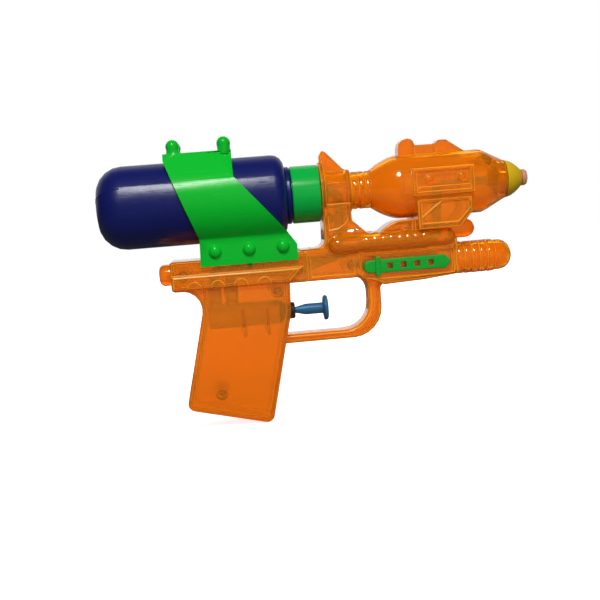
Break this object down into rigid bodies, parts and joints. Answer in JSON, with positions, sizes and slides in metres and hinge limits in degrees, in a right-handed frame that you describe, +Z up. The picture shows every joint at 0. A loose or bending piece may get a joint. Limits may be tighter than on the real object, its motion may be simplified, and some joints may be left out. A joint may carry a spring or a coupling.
{
  "type": "water squirter",
  "caption": "Toy water pistol with a clear orange body, a navy screw-in water tank under a green saddle, a push trigger with a piston pump, and a yellow nozzle.",
  "frame": {"origin": "middle of the grip, where the hand holds it", "axes": "+X along the barrel towards the nozzle, +Y to the left side, +Z up"},
  "size_m": [0.2005, 0.0422, 0.1324],
  "materials": {
    "clear_orange": "translucent, polished",
    "green": "moulded, glossy",
    "navy": "blow-moulded, satin",
    "yellow": "moulded, satin",
    "blue": "moulded, satin",
    "black_plastic": "moulded, satin",
    "black_rubber": "matt",
    "white": "moulded, satin",
    "clear_hose": "clear, soft",
    "steel": "plain"
  },
  "bodies": {
    "body": {"shell_right": "clear_orange", "shell_left": "clear_orange", "shell_screw_1": "steel", "shell_screw_2": "steel", "shell_screw_3": "steel", "shell_screw_4": "steel", "shell_screw_5": "steel", "shell_screw_6": "steel", "tank_collar": "green", "tank_saddle": "green", "nozzle_cap": "yellow", "nozzle_jet": "clear_orange", "trim_bar_right": "green", "trim_bar_left": "green", "pump_cylinder": "white", "pump_gland": "black_plastic", "inlet_valve": "white", "outlet_valve": "white", "suction_hose": "clear_hose", "delivery_hose": "clear_hose", "return_spring": "steel"},
    "trigger": {"trigger_plunger": "blue", "piston_seal": "black_rubber"},
    "gasket": {"tank_gasket": "black_rubber"},
    "tank": {"tank": "navy"},
    "inlet_ball": {"inlet_ball": "steel"},
    "outlet_ball": {"outlet_ball": "steel"}
  },
  "joints": [
    {"name": "trigger_pull", "type": "slide", "parent": "body", "child": "trigger", "axis": [-1, 0, 0], "range_m": [0, 0.012], "stiffness_N_per_m": 200, "springref_m": -0.004, "deforming": ["return_spring"]},
    {"name": "gasket_out", "type": "slide", "parent": "body", "child": "gasket", "axis": [-1, 0, 0], "range_m": [0, 0.007]},
    {"name": "tank_turn", "type": "hinge", "parent": "gasket", "child": "tank", "pos_m": [0, 0, 0.073], "axis": [-1, 0, 0], "range_deg": [0, 840]},
    {"name": "inlet_ball_lift", "type": "slide", "parent": "body", "child": "inlet_ball", "axis": [0, 0, 1], "range_m": [0, 0.001]},
    {"name": "outlet_ball_lift", "type": "slide", "parent": "body", "child": "outlet_ball", "axis": [0, 0, 1], "range_m": [0, 0.001]}
  ],
  "couplings": [
    {"joint": "gasket_out", "follows": "tank_turn", "m_per_rad": 0.00047746}
  ]
}
